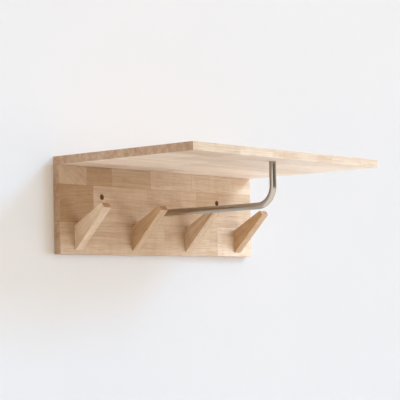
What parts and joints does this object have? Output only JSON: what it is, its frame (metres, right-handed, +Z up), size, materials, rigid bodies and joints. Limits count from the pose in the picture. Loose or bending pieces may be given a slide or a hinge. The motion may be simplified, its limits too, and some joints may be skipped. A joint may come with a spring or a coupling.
{
  "type": "coat rack with shelf",
  "caption": "Wall coat rack of pale jointed hardwood: a board with leaning wedge pegs, a deep shelf on top and a bent steel rod that carries it and takes hangers.",
  "frame": {"origin": "on the wall plane, midway between the two wall-screw holes", "axes": "+X along the wall to the right as seen from the room, +Y into the wall, +Z up"},
  "size_m": [0.65, 0.385, 0.206],
  "materials": {
    "panel_wood": "pale finger-jointed hardwood, matt clear lacquer",
    "peg_wood": "pale solid hardwood, matt clear lacquer",
    "dowel_wood": "plain fluted beech",
    "rod_steel": "brushed stainless steel",
    "bolt_steel": "bright zinc plate",
    "screw_steel": "zinc plate"
  },
  "bodies": {
    "root": {"back_board": "panel_wood", "shelf_board": "panel_wood", "peg_1": "peg_wood", "peg_2": "peg_wood", "peg_3": "peg_wood", "peg_4": "peg_wood", "support_rod": "rod_steel", "rod_bolts": "bolt_steel", "peg_screws": "screw_steel", "shelf_screws": "screw_steel", "peg_dowels": "dowel_wood", "shelf_dowels": "dowel_wood"}
  },
  "joints": []
}
